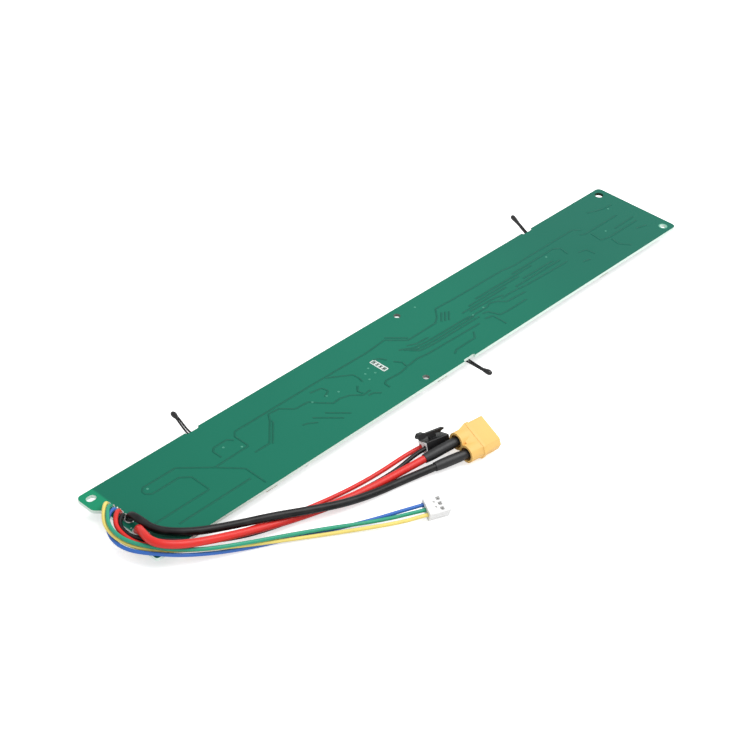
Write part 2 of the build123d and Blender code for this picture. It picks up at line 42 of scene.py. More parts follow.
# The board lies parts down on a white table and is seen from above its near end, through a long
# lens. The place, in metres, and the turn were fitted to its corners and holes in the photograph.
PHOTO_RIGHT = (0.67979314, -0.73206767, 0.04425171)
PHOTO_UP = (0.42155892, 0.43940551, 0.79322813)
PHOTO_BACK = (-0.60014112, -0.52057634, 0.60731451)
PHOTO_PLACE = (-0.50792443, -0.42325423, 0.49340305)
PHOTO_LENS = 85.54
FILM_WIDTH = 36.0
lens = bpy.data.cameras.new("photo_camera")
lens.lens = PHOTO_LENS
lens.sensor_width = FILM_WIDTH
lens.clip_start = 0.01
camera = bpy.data.objects.new("photo_camera", lens)
columns = (PHOTO_RIGHT, PHOTO_UP, PHOTO_BACK, PHOTO_PLACE)
camera.matrix_world = Matrix([[column[row] for column in columns] for row in range(3)] + [[0, 0, 0, 1]])
scene.collection.objects.link(camera)
scene.camera = camera


# Materials and shape trees are written as sums: a Link is one socket of a tree, and a sum, a
# difference, a product or a ratio of Links adds the nodes for it. make() adds any other node.
class Link:
    def __init__(self, tree, socket):
        self.tree = tree
        self.socket = socket

    def make(self, kind, settings=None, feeds=None, out=0):
        node = self.tree.nodes.new(kind)
        for key, value in (settings or {}).items():
            setattr(node, key, value)
        for key, value in (feeds or {}).items():
            if isinstance(value, Link):
                self.tree.links.new(value.socket, node.inputs[key])
            else:
                node.inputs[key].default_value = value
        return Link(self.tree, node.outputs[out])

    def maths(self, operation, *values):
        return self.make("ShaderNodeMath", {"operation": operation}, dict(enumerate(values)))

    def __add__(self, other):
        return self.maths("ADD", self, other)

    __radd__ = __add__

    def __sub__(self, other):
        return self.maths("SUBTRACT", self, other)

    def __rsub__(self, other):
        return self.maths("SUBTRACT", other, self)

    def __mul__(self, other):
        return self.maths("MULTIPLY", self, other)

    __rmul__ = __mul__

    def __truediv__(self, other):
        return self.maths("DIVIDE", self, other)

    def __rtruediv__(self, other):
        return self.maths("DIVIDE", other, self)

    def step(self, low, high):
        return self.make("ShaderNodeMapRange", {"interpolation_type": "SMOOTHSTEP"},
                         {"Value": self, "From Min": low, "From Max": high})

    def mix(self, dark, light):
        feeds = {6: dark, 7: light}
        for key, value in feeds.items():
            if not isinstance(value, Link):
                feeds[key] = (*value, 1)
        return self.make("ShaderNodeMix", {"data_type": "RGBA"}, {0: self, **feeds}, 2)

    def axes(self):
        parts = self.make("ShaderNodeSeparateXYZ", None, {0: self}).socket.node
        return [Link(self.tree, socket) for socket in parts.outputs]

    def stretched(self, by):
        return self.make("ShaderNodeVectorMath", {"operation": "MULTIPLY"}, {0: self, 1: by})

    def noise(self, scale, detail=3.0, stretch=(1, 1, 1)):
        return self.make("ShaderNodeTexNoise", None, {
            "Vector": self.stretched(stretch), "Scale": scale, "Detail": detail})

    def from_axis(self, spot):
        return self.make("ShaderNodeVectorMath", {"operation": "DISTANCE"}, {
            0: self.stretched((1, 1, 0)), 1: (spot.x, spot.y, 0)}, 1)


def new_finish(name, **fixed):
    made = bpy.data.materials.new(name)
    made.use_nodes = True
    tree = made.node_tree
    shader = tree.nodes["Principled BSDF"]
    for key, value in fixed.items():
        shader.inputs[key.replace("_", " ")].default_value = value
    place = Link(tree, tree.nodes.new("ShaderNodeTexCoord").outputs["Object"])
    return made, place


def feed(made, **sockets):
    tree = made.node_tree
    shader = tree.nodes["Principled BSDF"]
    for key, value in sockets.items():
        if key == "bump":
            height, depth = value
            value = height.make("ShaderNodeBump", None, {
                "Height": height, "Distance": depth / 1000, "Strength": 1.0})
            key = "Normal"
        tree.links.new(value.socket, shader.inputs[key.replace("_", " ")])
    return made


# The table: a wide sheet of matt white paper, its radius in metres. It keeps a faint shadow of the
# board and its wires, and glows a little to the lens, so that it fades to white all round.
TABLE_R = 3.0
TABLE_SIDES = 32
PAPER_DARK = (0.86, 0.86, 0.86)
PAPER_PALE = (0.90, 0.90, 0.90)
PAPER_GLOW = 0.60
paper, place = new_finish("table_paper", Roughness=0.9, Specular_IOR_Level=0.1)
grain = place.noise(900.0)
feed(paper, Base_Color=grain.mix(PAPER_DARK, PAPER_PALE), bump=(grain, 0.05))
tree = paper.node_tree
seen = Link(tree, tree.nodes.new("ShaderNodeLightPath").outputs["Is Camera Ray"])
lit = Link(tree, tree.nodes["Principled BSDF"].outputs[0])
glow = seen.make("ShaderNodeEmission", None, {"Color": (1, 1, 1, 1), "Strength": seen * PAPER_GLOW})
both = seen.make("ShaderNodeAddShader", None, {0: lit, 1: glow})
tree.links.new(both.socket, tree.nodes["Material Output"].inputs["Surface"])
turns = [2 * pi * i / TABLE_SIDES for i in range(TABLE_SIDES)]
table = bpy.data.meshes.new("table_top")
table.from_pydata([(TABLE_R * cos(turn), TABLE_R * sin(turn), 0) for turn in turns], [],
                  [tuple(range(TABLE_SIDES))])
table.materials.append(paper)
floor = bpy.data.objects.new("table_top", table)
scene.collection.objects.link(floor)

# Studio light: a white room all round, and one wide lamp high over the right of the picture. It
# gives the wires their long soft gleams and a faint shadow on the table.
ROOM_SEEN = 1.0
ROOM_MIRRORED = 0.8
ROOM_LIGHT = 0.64
LAMP_PLACE = Vector((0.32, -0.42, 1.2))
LAMP_SIZE = 1.1
LAMP_POWER = 13.0
room = bpy.data.worlds.new("white_room")
room.use_nodes = True
tree = room.node_tree
path = tree.nodes.new("ShaderNodeLightPath")
seen = Link(tree, path.outputs["Is Camera Ray"])
shiny = Link(tree, path.outputs["Is Glossy Ray"])
clear = Link(tree, path.outputs["Is Transmission Ray"])
level = seen.maths("MAXIMUM", seen * ROOM_SEEN, shiny.maths("MAXIMUM", shiny, clear) * ROOM_MIRRORED)
level = level.maths("MAXIMUM", level, ROOM_LIGHT)
tree.links.new(level.socket, tree.nodes["Background"].inputs["Strength"])
tree.nodes["Background"].inputs["Color"].default_value = (1, 1, 1, 1)
scene.world = room
lamp = bpy.data.lights.new("wide_lamp", "AREA")
lamp.size = LAMP_SIZE
lamp.energy = LAMP_POWER
lamp_piece = bpy.data.objects.new("wide_lamp", lamp)
turn = (-LAMP_PLACE).to_track_quat("-Z", "Y").to_matrix().to_4x4()
lamp_piece.matrix_world = Matrix.Translation(LAMP_PLACE) @ turn
scene.collection.objects.link(lamp_piece)

# Circuit board: glass cloth in epoxy under green solder mask, dark over the copper fields and bright
# over the bare lug at the near end, with painted shade darkening the near end and a painted sheen
# greying the far end. Its edges are sawn and pale; its holes are plated, or painted dark as shade
# inside them. From here on sizes are in mm, and places start from its near front corner.
BOARD_SHIFT = Vector((-176.4, -27.7905, 0.0))
BOARD_TOP = 7.0
BOARD_UNDER = 5.4
HEADER_X = 155.6
HEADER_MID = 25.0
HEADER_PITCH = 2.0
HEADER_HOLE_R = 0.7
HEADER = [(HEADER_X, HEADER_MID + (i - 1.5) * HEADER_PITCH) for i in range(4)]
# The mask over copper has its middle colour, darkened towards the near end as painted shade and greyed
# towards the far end as painted sheen.
MASK_NEAR_PAINTED_SHADE = (0.0055, 0.160, 0.098)
MASK_MIDDLE = (0.0080, 0.175, 0.110)
MASK_FAR_PAINTED_SHEEN = (0.0110, 0.148, 0.101)
PAINTED_SHADE_BLEND = (16.4, 156.4)
PAINTED_SHEEN_BLEND = (196.4, 326.4)
MASK_THICK = (0.0040, 0.110, 0.075)
MASK_OVER_GLASS = (0.009, 0.272, 0.138)
LUG_CORNER = (8.7, 36.6)
LUG_BLUR = (0.7, 0.5)
SAWN_EDGE = (0.84, 1.0, 0.91)
# Painted shade: a dark wall colour for holes whose insides lie in shade.
PAINTED_SHADE_WALL = (0.035, 0.075, 0.045)
PLATED_WALL = (0.26, 0.29, 0.26)
BARE_RING = (0.16, 0.46, 0.33)
HOLE_BLUR = 0.05
RINGED_HOLE = (347.4, 4.5, 2.25)
# The far back hole and the header's four holes get the painted shade wall; the two middle holes are plated.
LINED_HOLES = [
    ((347.4, 45.5, 2.65), PAINTED_SHADE_WALL), ((190.2, 45.5, 1.9), PLATED_WALL), ((164.7, 4.5, 1.9), PLATED_WALL),
    *[((*spot, HEADER_HOLE_R), PAINTED_SHADE_WALL) for spot in HEADER],
]


def board_point(x, y, z):
    return (Vector((x, y, z)) + BOARD_SHIFT) / 1000


def tint(colour, share, lift=0.0):
    return tuple(min(1.0, share * c + lift) for c in colour)


# Both give 1 on one side and 0 on the other: across a band of the board, and round a hole's rim.
def between(place, axis, start, end):
    shift = BOARD_SHIFT[axis]
    return place.axes()[axis].step((start + shift) / 1000, (end + shift) / 1000)


def inside(place, x, y, radius):
    from_middle = place.from_axis(board_point(x, y, 0))
    return from_middle.step((radius + HOLE_BLUR) / 1000, (radius - HOLE_BLUR) / 1000)


mask, place = new_finish("solder_mask", Specular_IOR_Level=0.16)
normal = Link(mask.node_tree, mask.node_tree.nodes.new("ShaderNodeNewGeometry").outputs["Normal"])
facing = normal.axes()[2]
flat = facing.maths("ABSOLUTE", facing).step(0.6, 0.9)
lug = (between(place, 0, LUG_CORNER[0] + LUG_BLUR[0], LUG_CORNER[0] - LUG_BLUR[0])
       * between(place, 1, LUG_CORNER[1] - LUG_BLUR[1], LUG_CORNER[1] + LUG_BLUR[1]))
cloud = place.noise(14.0, 3.0)
weave = place.noise(1400.0, 2.0)
# Over the copper: painted shade towards the near end, painted sheen towards the far end, then random
# patches of thicker mask.
copper_field_with_painted_light = between(place, 0, *PAINTED_SHADE_BLEND).mix(MASK_NEAR_PAINTED_SHADE, MASK_MIDDLE)
copper_field_with_painted_light = between(place, 0, *PAINTED_SHEEN_BLEND).mix(copper_field_with_painted_light, MASK_FAR_PAINTED_SHEEN)
copper_field_with_painted_light = (0.14 * cloud.step(0.35, 0.75)).mix(copper_field_with_painted_light, MASK_THICK)
face = inside(place, *RINGED_HOLE).mix(lug.mix(copper_field_with_painted_light, MASK_OVER_GLASS), BARE_RING)
side = place.noise(1800.0, 2.0, (1, 1, 6)).mix(tint(SAWN_EDGE, 0.9), SAWN_EDGE)
for hole, wall in LINED_HOLES:
    side = inside(place, *hole).mix(side, wall)
feed(mask, Base_Color=flat.mix(side, face), Roughness=0.75 - 0.33 * flat + 0.1 * cloud,
     bump=(weave, 0.02))
nodes["circuit_board"].material_slots[0].material = mask

# Tracks: copper lines under the mask of both faces, seen as thin dark ridges. Each is drawn as a
# line with rounded corners and given a flat section; a row is its width in mm and its corners.
# Towards the far end the ridges turn paler: a painted sheen, as on the mask.
TRACK_DARK = (0.0052, 0.128, 0.081)
TRACK_FAR_PAINTED_SHEEN = (0.0088, 0.133, 0.092)
TRACK_SHEEN_BLEND = (116.4, 276.4)
TRACK_FORM = {"Width": 1.0, "Thickness": 0.06, "Corner": 0.9}
LINE_LIFT = 0.0006
LANE_PITCH = 1.7
CELL_COLUMNS = [228.0 + 8.61 * i for i in range(10)]
TRACKS = [
    (0.75, [(62.8, 3), (62.8, 15.2), (54, 24.7), (42, 35.8), (24, 35.8), (22.2, 34), (22.2, 32),
            (24.4, 30.2), (39, 30.2), (43, 26.8), (43, 16), (13, 16)]),
    (0.7, [(20, 9), (60, 9.2)]),
    (0.8, [(54, 24.7), (74, 25), (74, 33.6), (76.4, 36), (125, 35.9), (158.5, 35.4), (171.5, 36.4),
           (179.5, 28.8), (198.7, 28.9), (203, 31.6), (207.6, 36.6), (219.5, 36), (255.5, 35.4),
           (263, 34.2), (310, 34.1), (313.5, 30.8)]),
    (0.5, [(82.5, 19), (92.8, 29.4), (92.8, 32)]),
    (0.5, [(60.5, 27.5), (60.5, 32.6), (62.5, 34.4), (70, 34.4), (72, 32)]),
    (0.9, [(73, 20), (81.5, 20), (92.5, 31), (95, 34.5), (101, 34), (106, 29), (113.6, 28.5),
           (116.3, 25), (120.9, 20.3), (125.4, 20.5), (130.3, 19.1), (134.7, 15.1), (139.8, 15.3)]),
    (0.8, [(113.4, 18.1), (121.7, 10)]),
    (0.7, [(107, 19.5), (117, 9.9)]),
    (0.6, [(100.2, 18.9), (102.6, 18.2), (106.6, 15.5)]),
    (0.5, [(118.6, 32.4), (124.9, 31.3), (125.7, 28), (121.6, 26.1)]),
    (0.5, [(131.5, 35.2), (138.3, 30.8), (142.1, 28.2), (142.2, 24.7), (141.5, 22)]),
    (0.5, [(137.7, 21.5), (134.8, 18.7), (135.6, 16)]),
    (0.6, [(136.1, 13.4), (139, 13), (141.8, 10.6)]),
    (0.7, [(162.5, 22.5), (165, 19.3), (164.2, 15.6), (171.8, 16.4), (178.6, 15.5), (214, 14.4)]),
    (0.7, [(164, 15.5), (158.2, 14.5), (150, 15.2), (147.6, 14.1), (147.5, 10.8)]),
    (0.5, [(156.8, 29.6), (159.7, 28.2), (161.2, 25.4)]),
    (0.5, [(172.8, 37.7), (180.8, 30)]),
    (0.5, [(175.8, 26.4), (180.4, 24.3), (187.9, 23.8)]),
    (0.7, [(206.8, 12.2), (203.4, 8.5), (190.3, 8.5), (187.4, 7)]),
    (0.7, [(211.7, 20.7), (227, 20.7), (230, 21.7), (233.9, 20.2), (236.9, 17), (250.1, 16)]),
    (0.5, [(217.8, 23.8), (235.1, 22.9), (240, 21.7)]),
    (0.7, [(220.9, 18.6), (224.1, 17.8), (226.3, 12.4), (230.5, 11.8), (245.5, 11.7)]),
    (0.6, [(218.6, 15.2), (223.2, 14), (223.1, 5.7)]),
    (0.8, [(237.1, 20.3), (243.7, 20.5), (254.8, 19.3), (285.8, 18.2)]),
    (0.6, [(256.8, 30.2), (289.2, 30.1), (292.4, 28), (291.2, 22.6)]),
    (0.5, [(296, 19.5), (300.9, 18), (301.6, 13.2)]),
    (0.5, [(291.3, 12.7), (295.8, 11.5)]),
    (0.7, [(309.4, 29.2), (311.9, 27.3), (338.5, 27.2)]),
    (0.7, [(313.2, 18.4), (319.1, 17.1), (341.9, 17.1)]),
    (0.6, [(314.5, 25.7), (313.5, 18.6)]),
    (0.6, [(318.5, 15.6), (317.3, 10.5), (321.2, 5.1)]),
    (0.5, [(328.3, 39), (336, 36.2), (344.4, 35)]),
    (0.5, [(327.6, 20.2), (343.5, 20.4)]),
    (0.5, [(335.7, 12.6), (342.1, 10.9)]),
]
for lane in range(3):
    step = LANE_PITCH * lane
    TRACKS.append((0.4, [(174 - step, 23.2 + step), (177.6, 19.6 + step), (184.9, 18.6 + step),
                         (218 - step, 18.1 + step)]))
    TRACKS.append((0.35, [(202 + step, 27.9 - step / 2), (207.4 + step, 32.7 - step / 2)]))
    TRACKS.append((0.35, [(214 + 4 * step, 25.4 + step), (246 + 7 * step, 25 + step)]))
for lane in range(2):
    TRACKS.append((0.35, [(250 + 8 * lane, 22 + 2 * lane), (284 - 3 * lane, 21.6 + 2 * lane)]))
UNDER_TRACKS = [
    (0.5, [(105, 43), (105, 41), (107, 39.4), (118, 39.4), (121, 42.4), (196, 42.4), (207, 31.6)]),
    (0.5, [(140, 43.4), (194, 43.4), (208.2, 31.6)]),
    (0.5, [(172, 44.3), (196.4, 44.3), (209.4, 31.6)]),
    (0.5, [(215, 44), (215, 31.6)]),
    (0.5, [(250, 44), (250, 41), (222, 41), (216.2, 35), (216.2, 31.6)]),
    (0.5, [(318, 44), (318, 39.8), (223.4, 39.8), (217.4, 33.8), (217.4, 31.6)]),
    (0.5, [(63.3, 6), (63.3, 8), (66, 10.4), (80, 10.4), (84, 14.4), (107, 14.4), (110.6, 18)]),
    (0.5, [(170.8, 6), (170.8, 14), (176.4, 19.6), (206, 19.6), (208, 20.6)]),
    (0.5, [(291.8, 6), (291.8, 8.4), (214, 8.4), (211, 11.4), (211, 20.4)]),
    (0.4, [(133.4, 22.9), (204, 22.9), (206, 24.2)]),
    (0.4, [(133.4, 25.1), (180, 25.1), (183, 24.4)]),
    (0.4, [(133.4, 27.2), (150, 27.2), (204, 27.1)]),
    (0.4, [(122.6, 23), (115, 23), (112.6, 20.6)]),
    (0.4, [(122.6, 27.6), (115.4, 27.6), (113.4, 28)]),
    (0.4, [(126.4, 30.4), (126.4, 32.4)]),
    (0.4, [(129.6, 30.4), (129.6, 32.4)]),
    (0.8, [(88, 11.4), (88, 18.4)]),
    (0.8, [(88, 38.8), (88, 33.6)]),
    (1.2, [(92.4, 43), (97, 43)]),
    (1.0, [(101.5, 33.4), (101.5, 30.4)]),
    (1.2, [(330, 16.6), (330, 35.4)]),
    (0.9, [(221, 15), (309, 15), (313, 19), (326, 19)]),
    (0.6, [(219, 22.2), (309, 22.2), (321, 34.2), (325.6, 38)]),
    (0.5, [(64, 43), (64, 44.4), (86, 48.2), (120, 48.2), (124, 44.2), (124, 31)]),
    (0.5, [(292.4, 47.6), (330, 47.6), (340, 40), (340, 10), (335, 5), (192, 5)]),
]
for x in CELL_COLUMNS:
    UNDER_TRACKS += [(0.5, [(x, 31.4), (x, 27.4)]), (0.4, [(x + 0.9, 24.6), (x + 0.9, 18.8)]),
                     (0.4, [(x - 0.9, 17.2), (x - 0.9, 12.8)])]


def join_sockets(tree, names):
    for name, kind in names:
        tree.interface.new_socket(name, in_out="INPUT", socket_type=kind)
    tree.interface.new_socket("Geometry", in_out="OUTPUT", socket_type="NodeSocketGeometry")
    start = tree.nodes.new("NodeGroupInput")
    return [Link(tree, start.outputs[name]) for name, kind in names]


def settle(name, shape, slot, *stands_for):
    piece = bpy.data.objects.new(name, shape)
    scene.collection.objects.link(piece)
    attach(piece, "root")
    if stands_for:
        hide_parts(*stands_for)
    return piece


# A shape tree is run on a mesh with its sizes in mm, and what it makes is kept as a plain piece.
def grow(name, mesh, tree, sizes, finish, slot):
    seed = bpy.data.objects.new(name + "_seed", mesh)
    scene.collection.objects.link(seed)
    shaping = seed.modifiers.new("shaping", "NODES")
    shaping.node_group = tree
    values = {key: size / 1000 for key, size in sizes.items()}
    values["Finish"] = finish
    for item in tree.interface.items_tree:
        if item.item_type == "SOCKET" and item.in_out == "INPUT" and item.name in values:
            shaping[item.identifier] = values[item.name]
    ready = seed.evaluated_get(bpy.context.evaluated_depsgraph_get())
    made = bpy.data.meshes.new_from_object(ready)
    made.name = name
    seed.modifiers.remove(shaping)
    bpy.data.objects.remove(seed)
    made.materials.clear()
    made.materials.append(finish)
    return settle(name, made, slot)


# Lines drawn as loose edges on the board. Each lies a hair above the last, so that two that cross
# don't share a plane, and its points carry its share of the tree's width or radius.
def chart(name, lines, height, shares=None, lift=LINE_LIFT):
    mesh = bpy.data.meshes.new(name)
    spots = []
    edges = []
    spot_shares = []
    for i, line in enumerate(lines):
        edges += [(len(spots) + n, len(spots) + n + 1) for n in range(len(line) - 1)]
        spots += [board_point(*spot, height + lift * i) for spot in line]
        spot_shares += [shares[i] if shares else 1.0] * len(line)
    mesh.from_pydata(spots, edges, [])
    mesh.attributes.new("share", "FLOAT", "POINT").data.foreach_set("value", spot_shares)
    return mesh


ribbon = bpy.data.node_groups.new("flat_line", "GeometryNodeTree")
lines, wide, thick, corner, coat = join_sockets(ribbon, [
    ("Geometry", "NodeSocketGeometry"), ("Width", "NodeSocketFloat"), ("Thickness", "NodeSocketFloat"),
    ("Corner", "NodeSocketFloat"), ("Finish", "NodeSocketMaterial")])
share = lines.make("GeometryNodeInputNamedAttribute", {"data_type": "FLOAT"}, {"Name": "share"})
course = lines.make("GeometryNodeMeshToCurve", None, {"Mesh": lines})
course = course.make("GeometryNodeFilletCurve", {"mode": "POLY"}, {
    "Curve": course, "Radius": corner, "Count": 3, "Limit Radius": True})
course = course.make("GeometryNodeSetCurveNormal", {"mode": "Z_UP"}, {"Curve": course})
course = course.make("GeometryNodeSetCurveRadius", None, {"Curve": course, "Radius": share})
section = lines.make("GeometryNodeCurvePrimitiveQuadrilateral", None, {"Width": wide, "Height": thick})
solid = course.make("GeometryNodeCurveToMesh", None, {
    "Curve": course, "Profile Curve": section, "Fill Caps": True})
solid = solid.make("GeometryNodeRealizeInstances", None, {"Geometry": solid})
solid = solid.make("GeometryNodeSetMaterial", None, {"Geometry": solid, "Material": coat})
ribbon.links.new(solid.socket, ribbon.nodes.new("NodeGroupOutput").inputs[0])

ridge, place = new_finish("mask_ridge", Specular_IOR_Level=0.16)
cloud = place.noise(300.0, 2.0)
near_shade = cloud.mix(tint(TRACK_DARK, 0.9), tint(TRACK_DARK, 1.12))
# Paler towards the far end: painted sheen.
feed(ridge, Base_Color=between(place, 0, *TRACK_SHEEN_BLEND).mix(near_shade, TRACK_FAR_PAINTED_SHEEN),
     Roughness=0.42 + 0.1 * cloud, bump=(cloud, 0.02))
for name, rows, height, lift in (("track_ridges", TRACKS, BOARD_TOP, LINE_LIFT),
                                 ("under_ridges", UNDER_TRACKS, BOARD_UNDER, -LINE_LIFT)):
    widths, courses = zip(*rows)
    grow(name, chart(name + "_lines", courses, height, widths, lift), ribbon, TRACK_FORM,
         ridge, "laminate")

# White ink, screen printed over the mask: a ladder round the four holes of the empty header on the
# top face, and plain boxes round the parts on the other face. Boxes are given by their half sizes.
LADDER_FORM = {"Width": 0.5, "Thickness": 0.05, "Corner": 0.15}
OUTLINE_FORM = {"Width": 0.18, "Thickness": 0.04, "Corner": 0.2}
LADDER_BOX = (1.35, 4.4)
SWITCHES = [(x, y) for x in (56.0, 66.5, 77.0) for y in (15.0, 39.0)]
SWITCH_BOX = (3.9, 5.9)
SWITCH_LEGS = 0.6
CANS = [(88.0, 7.0), (88.0, 43.0), (330.0, 12.0), (330.0, 40.0)]
CAN_BOX = (3.9, 3.9)
RESISTOR_Y = 34.0
RESISTOR_BOX = (1.8, 3.4)
TRANSISTOR_Y = 26.0
TRANSISTOR_BOX = (2.0, 1.9)
PART_BOXES = {
    "fuse": (24.0, 8.5, 6.0, 3.9),
    "front_diode": (38.0, 8.5, 4.4, 3.3),
    "back_diode": (38.0, 43.5, 4.4, 3.3),
    "inductor": (101.5, 38.0, 4.4, 4.4),
    "regulator": (101.5, 26.0, 4.0, 4.2),
    "controller": (128.0, 25.0, 5.2, 5.2),
    "crystal": (128.0, 34.5, 3.2, 2.3),
    "monitor": (212.0, 26.0, 3.9, 5.6),
}
ink, place = new_finish("white_ink", Specular_IOR_Level=0.3)
speck = place.noise(3000.0, 2.0)
feed(ink, Base_Color=speck.mix((0.80, 0.84, 0.82), (0.92, 0.94, 0.92)), Roughness=0.55 + 0.1 * speck,
     bump=(speck, 0.01))


def around(x, y, half_x, half_y):
    left, right = x - half_x, x + half_x
    front, back = y - half_y, y + half_y
    return [(left, y), (left, front), (right, front), (right, back), (left, back), (left, y)]


left, right = HEADER_X - LADDER_BOX[0], HEADER_X + LADDER_BOX[0]
rung_ys = [HEADER_MID + i * HEADER_PITCH for i in (-1, 0, 1)]
ladder = [around(HEADER_X, HEADER_MID, *LADDER_BOX), *[[(left, y), (right, y)] for y in rung_ys]]
grow("header_outline", chart("ladder_lines", ladder, BOARD_TOP), ribbon, LADDER_FORM,
     ink, "white_nylon")
boxes = [around(x, y + SWITCH_LEGS if y > HEADER_MID else y - SWITCH_LEGS, *SWITCH_BOX)
         for x, y in SWITCHES]
boxes += [around(x, y, *CAN_BOX) for x, y in CANS]
boxes += [around(x, RESISTOR_Y, *RESISTOR_BOX) for x in CELL_COLUMNS]
boxes += [around(x, TRANSISTOR_Y, *TRANSISTOR_BOX) for x in CELL_COLUMNS]
boxes += [around(*box) for box in PART_BOXES.values()]
grow("part_outlines", chart("outline_lines", boxes, BOARD_UNDER), ribbon, OUTLINE_FORM,
     ink, "white_nylon")

# Tinned rings round the header's holes, and the small vias that join the tracks to the other face.
# The header's copper is bare and tinned; the vias are covered by the mask and show as pale rings.
HEADER_RING = {"Radius": 0.62, "Thickness": 0.14, "Height": 0.042}
VIA_RING = {"Radius": 0.34, "Thickness": 0.16, "Height": 0.048}
VIA_SHADES = ((0.06, 0.33, 0.22), (0.14, 0.46, 0.33))
VIAS = [(25, 34), (65.5, 31.7), (71.5, 26.6), (114.8, 27.2), (122.5, 26), (145, 21), (146.5, 25),
        (179, 21.3), (216.8, 21), (225, 21.6), (201.5, 44.3), (128.5, 24.4), (150.5, 22.5), (150.5, 27),
        (281, 28), (322, 22), (340, 34)]
ringlet = bpy.data.node_groups.new("ring_at_each_point", "GeometryNodeTree")
spots, radius, thick, height, coat = join_sockets(ringlet, [
    ("Geometry", "NodeSocketGeometry"), ("Radius", "NodeSocketFloat"), ("Thickness", "NodeSocketFloat"),
    ("Height", "NodeSocketFloat"), ("Finish", "NodeSocketMaterial")])
hoop = spots.make("GeometryNodeCurvePrimitiveCircle", None, {"Resolution": 24, "Radius": radius})
cut = spots.make("GeometryNodeCurvePrimitiveCircle", None, {"Resolution": 8, "Radius": thick})
hoop = hoop.make("GeometryNodeCurveToMesh", None, {"Curve": hoop, "Profile Curve": cut})
size = height.make("ShaderNodeCombineXYZ", None, {"X": 1.0, "Y": 1.0, "Z": height / thick})
hoop = hoop.make("GeometryNodeTransform", None, {"Geometry": hoop, "Scale": size})
share = spots.make("GeometryNodeInputNamedAttribute", {"data_type": "FLOAT"}, {"Name": "share"})
middles = spots.make("GeometryNodeMeshToPoints", None, {"Mesh": spots})
rings = spots.make("GeometryNodeInstanceOnPoints", None, {
    "Points": middles, "Instance": hoop, "Scale": share})
rings = rings.make("GeometryNodeRealizeInstances", None, {"Geometry": rings})
rings = rings.make("GeometryNodeSetShadeSmooth", None, {"Geometry": rings})
rings = rings.make("GeometryNodeSetMaterial", None, {"Geometry": rings, "Material": coat})
ringlet.links.new(rings.socket, ringlet.nodes.new("NodeGroupOutput").inputs[0])


def new_metal(name, colour, rough, scale):
    finish, place = new_finish(name, Metallic=1.0)
    tarnish = place.noise(scale / 4, 4.0)
    scuff = place.noise(scale, 3.0, (1, 1, 0.3))
    return feed(finish, Base_Color=tarnish.step(0.3, 0.7).mix(colour, tint(colour, 0.75)),
                Roughness=rough + 0.25 * scuff, bump=(scuff, 0.03))


tin = new_metal("tin", (0.70, 0.70, 0.69), 0.30, 1500.0)
grow("header_rings", chart("header_spots", [[spot] for spot in HEADER], BOARD_TOP), ringlet,
     HEADER_RING, tin, "tin")
covered, place = new_finish("covered_via", Specular_IOR_Level=0.3)
cloud = place.noise(800.0, 2.0)
feed(covered, Base_Color=cloud.mix(*VIA_SHADES), Roughness=0.4 + 0.1 * cloud, bump=(cloud, 0.01))
grow("via_rings", chart("via_spots", [[spot] for spot in VIAS], BOARD_TOP), ringlet,
     VIA_RING, covered, "laminate")

